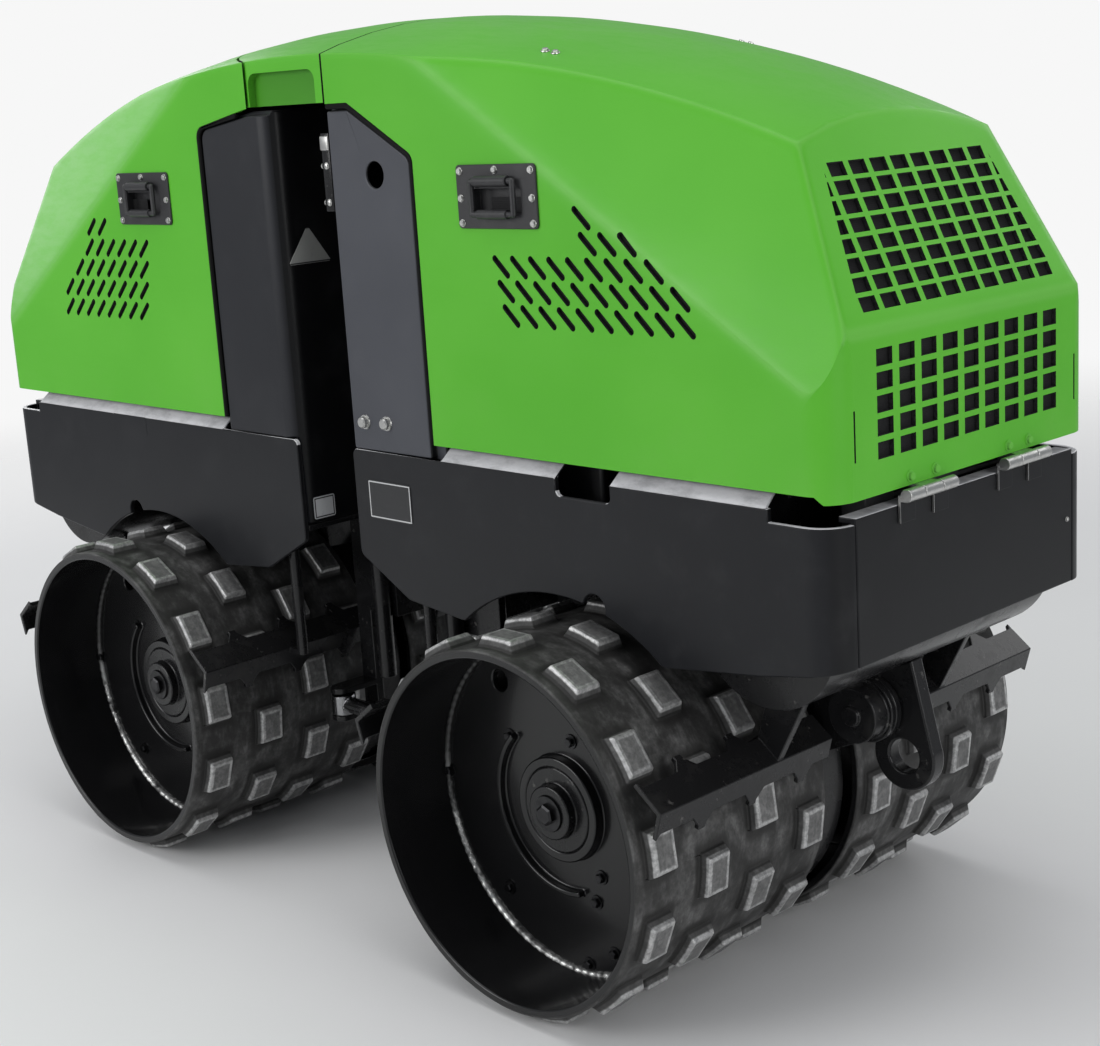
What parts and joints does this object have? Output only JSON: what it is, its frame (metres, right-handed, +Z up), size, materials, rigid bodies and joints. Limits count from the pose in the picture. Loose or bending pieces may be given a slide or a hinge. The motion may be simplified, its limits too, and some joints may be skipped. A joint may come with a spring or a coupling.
{
  "type": "trench roller",
  "caption": "Articulated trench roller with padded split drums, green hinged hoods, clipped grilles, black side panels and a pin-jointed centre",
  "frame": {"origin": "middle of the resting footprint, on the ground", "axes": "X from the rear end to the front end, Y across the machine to its left, Z up"},
  "size_m": [1.916, 0.82, 1.324],
  "materials": {
    "green_paint": "gloss paint",
    "dark_panel": "satin paint",
    "black_steel": "satin paint",
    "drum_steel": "worn paint with bare edges",
    "bright_steel": "turned",
    "zinc": "zinc plated",
    "chrome": "polished",
    "aluminium": "bare fins",
    "cast_alloy": "cast, painted",
    "hot_steel": "heat stained",
    "rubber": "matt",
    "black_plastic": "moulded",
    "tank_plastic": "moulded"
  },
  "bodies": {
    "front_half": {"front_chassis": "black_steel", "front_side_plate_right": "dark_panel", "front_side_plate_left": "dark_panel", "front_end_panel": "dark_panel", "front_pillar": "dark_panel", "front_leg": "black_steel", "front_rubber_mounts": "rubber", "front_lashing_eye": "black_steel", "front_outer_scraper": "black_steel", "front_inner_scraper": "black_steel", "front_drive_motor": "black_steel", "front_hinge_leaves": "zinc", "centre_cover": "green_paint", "oil_cooler": "aluminium", "hydraulic_tank": "black_steel", "battery": "tank_plastic", "control_box": "tank_plastic", "articulation_lock": "bright_steel", "articulation_pin": "bright_steel"},
    "rear_half": {"rear_chassis": "black_steel", "rear_side_plate_right": "dark_panel", "rear_side_plate_left": "dark_panel", "rear_end_panel": "dark_panel", "rear_pillar": "dark_panel", "rear_leg": "black_steel", "rear_rubber_mounts": "rubber", "rear_lashing_eye": "black_steel", "rear_outer_scraper": "black_steel", "rear_inner_scraper": "black_steel", "rear_drive_motor": "black_steel", "rear_hinge_leaves": "zinc", "engine": "cast_alloy", "muffler": "hot_steel", "fuel_tank": "tank_plastic"},
    "front_roller": {"front_drum_right": "drum_steel", "front_drum_left": "drum_steel", "front_axle": "black_steel"},
    "rear_roller": {"rear_drum_right": "drum_steel", "rear_drum_left": "drum_steel", "rear_axle": "black_steel"},
    "front_shaker": {"front_exciter": "bright_steel"},
    "rear_shaker": {"rear_exciter": "bright_steel"},
    "front_cover": {"front_hood": "green_paint", "front_hood_trim": "rubber", "front_handle_plates": "black_plastic", "front_hood_hinges": "zinc"},
    "rear_cover": {"rear_hood": "green_paint", "rear_hood_trim": "rubber", "rear_handle_plates": "black_plastic", "rear_hood_hinges": "zinc"},
    "front_right_bail": {"front_bail_right": "black_plastic"},
    "front_left_bail": {"front_bail_left": "black_plastic"},
    "rear_right_bail": {"rear_bail_right": "black_plastic"},
    "rear_left_bail": {"rear_bail_left": "black_plastic"},
    "fan": {"cooler_fan": "tank_plastic"},
    "steering_cylinder": {"steering_barrel": "black_steel"},
    "steering_piston": {"steering_rod": "chrome"}
  },
  "joints": [
    {"name": "articulation", "type": "hinge", "parent": "front_half", "child": "rear_half", "pos_m": [0, 0, 0.48], "axis": [0, 0, 1], "range_deg": [-25, 25]},
    {"name": "front_roll", "type": "hinge", "parent": "front_half", "child": "front_roller", "pos_m": [0.4775, 0, 0.264], "axis": [0, 1, 0], "continuous": true},
    {"name": "rear_roll", "type": "hinge", "parent": "rear_half", "child": "rear_roller", "pos_m": [-0.4775, 0, 0.264], "axis": [0, 1, 0], "continuous": true},
    {"name": "front_shaft", "type": "hinge", "parent": "front_half", "child": "front_shaker", "pos_m": [0.4775, 0, 0.264], "axis": [0, 1, 0], "continuous": true},
    {"name": "rear_shaft", "type": "hinge", "parent": "rear_half", "child": "rear_shaker", "pos_m": [-0.4775, 0, 0.264], "axis": [0, 1, 0], "continuous": true},
    {"name": "front_hood_swing", "type": "hinge", "parent": "front_half", "child": "front_cover", "pos_m": [0.95, 0, 0.722], "axis": [0, 1, 0], "range_deg": [0, 70]},
    {"name": "rear_hood_swing", "type": "hinge", "parent": "rear_half", "child": "rear_cover", "pos_m": [-0.95, 0, 0.722], "axis": [0, -1, 0], "range_deg": [0, 70]},
    {"name": "front_right_bail_swing", "type": "hinge", "parent": "front_cover", "child": "front_right_bail", "pos_m": [0.417, -0.288, 1.1], "axis": [-1, 0, 0], "range_deg": [0, 90]},
    {"name": "front_left_bail_swing", "type": "hinge", "parent": "front_cover", "child": "front_left_bail", "pos_m": [0.417, 0.288, 1.1], "axis": [1, 0, 0], "range_deg": [0, 90]},
    {"name": "rear_right_bail_swing", "type": "hinge", "parent": "rear_cover", "child": "rear_right_bail", "pos_m": [-0.417, -0.288, 1.1], "axis": [-1, 0, 0], "range_deg": [0, 90]},
    {"name": "rear_left_bail_swing", "type": "hinge", "parent": "rear_cover", "child": "rear_left_bail", "pos_m": [-0.417, 0.288, 1.1], "axis": [1, 0, 0], "range_deg": [0, 90]},
    {"name": "fan_spin", "type": "hinge", "parent": "front_half", "child": "fan", "pos_m": [0.871, 0, 0.719], "axis": [1, 0, 0], "continuous": true},
    {"name": "cylinder_swing", "type": "hinge", "parent": "front_half", "child": "steering_cylinder", "pos_m": [0.158, -0.17, 0.255], "axis": [0, 0, 1], "range_deg": [-12.6, 12.6]},
    {"name": "piston_travel", "type": "slide", "parent": "steering_cylinder", "child": "steering_piston", "axis": [-1, 0, 0], "range_m": [-0.0738, 0.0738]}
  ],
  "couplings": [
    {"joint": "cylinder_swing", "follows": "articulation", "ratio": 0.5},
    {"joint": "piston_travel", "follows": "articulation", "m_per_rad": -0.1687}
  ]
}
